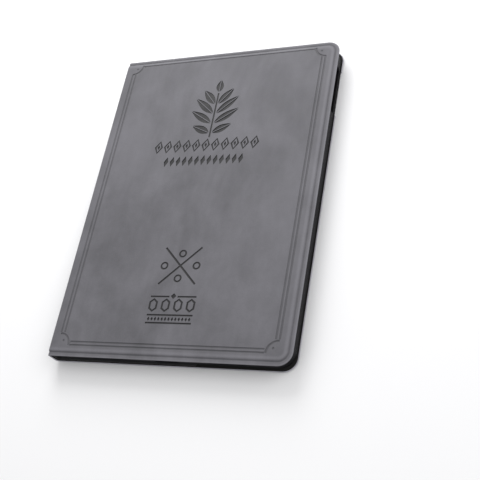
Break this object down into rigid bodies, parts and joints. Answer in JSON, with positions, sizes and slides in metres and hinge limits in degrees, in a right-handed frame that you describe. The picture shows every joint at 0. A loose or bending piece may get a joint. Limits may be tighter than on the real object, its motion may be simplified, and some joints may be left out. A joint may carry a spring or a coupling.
{
  "type": "tablet case",
  "caption": "Folding leather folio case for a tablet, with a moulded tray, a hinged spine and front cover, and cut-outs for lens, keys and port.",
  "frame": {"origin": "middle of the rear cover's outer face, on the surface the closed case lies on", "axes": "+Z out through the front cover, +Y along the spine towards the end with the lens, +X from the spine to the free edge"},
  "size_m": [0.175, 0.247, 0.0131],
  "materials": {
    "leather": "matte, soft nubuck grain with cloudy shading",
    "lining": "short suede nap",
    "tray": "fine texture",
    "board": "pressed paper fibre board",
    "tape": "thin plain weave",
    "adhesive": "thin film",
    "magnet": "bright plated"
  },
  "bodies": {
    "rear_panel": {"rear_leather": "leather", "rear_board_spine_side": "board", "rear_board_camera_side": "board", "crease_tape": "tape", "rear_lining": "lining", "tray_adhesive": "adhesive", "tray": "tray"},
    "spine": {"spine_leather": "leather", "spine_stiffener": "board", "spine_lining": "lining"},
    "front_cover": {"front_leather": "leather", "front_board": "board", "front_lining": "lining", "stand_ridges": "lining", "closure_magnets": "magnet", "sleep_magnet": "magnet"}
  },
  "joints": [
    {"name": "spine_fold", "type": "hinge", "parent": "rear_panel", "child": "spine", "pos_m": [-0.0875, 0, 0], "axis": [0, -1, 0], "range_deg": [0, 180]},
    {"name": "cover_fold", "type": "hinge", "parent": "spine", "child": "front_cover", "pos_m": [-0.0875, 0, 0.0131], "axis": [0, -1, 0], "range_deg": [0, 180]}
  ]
}
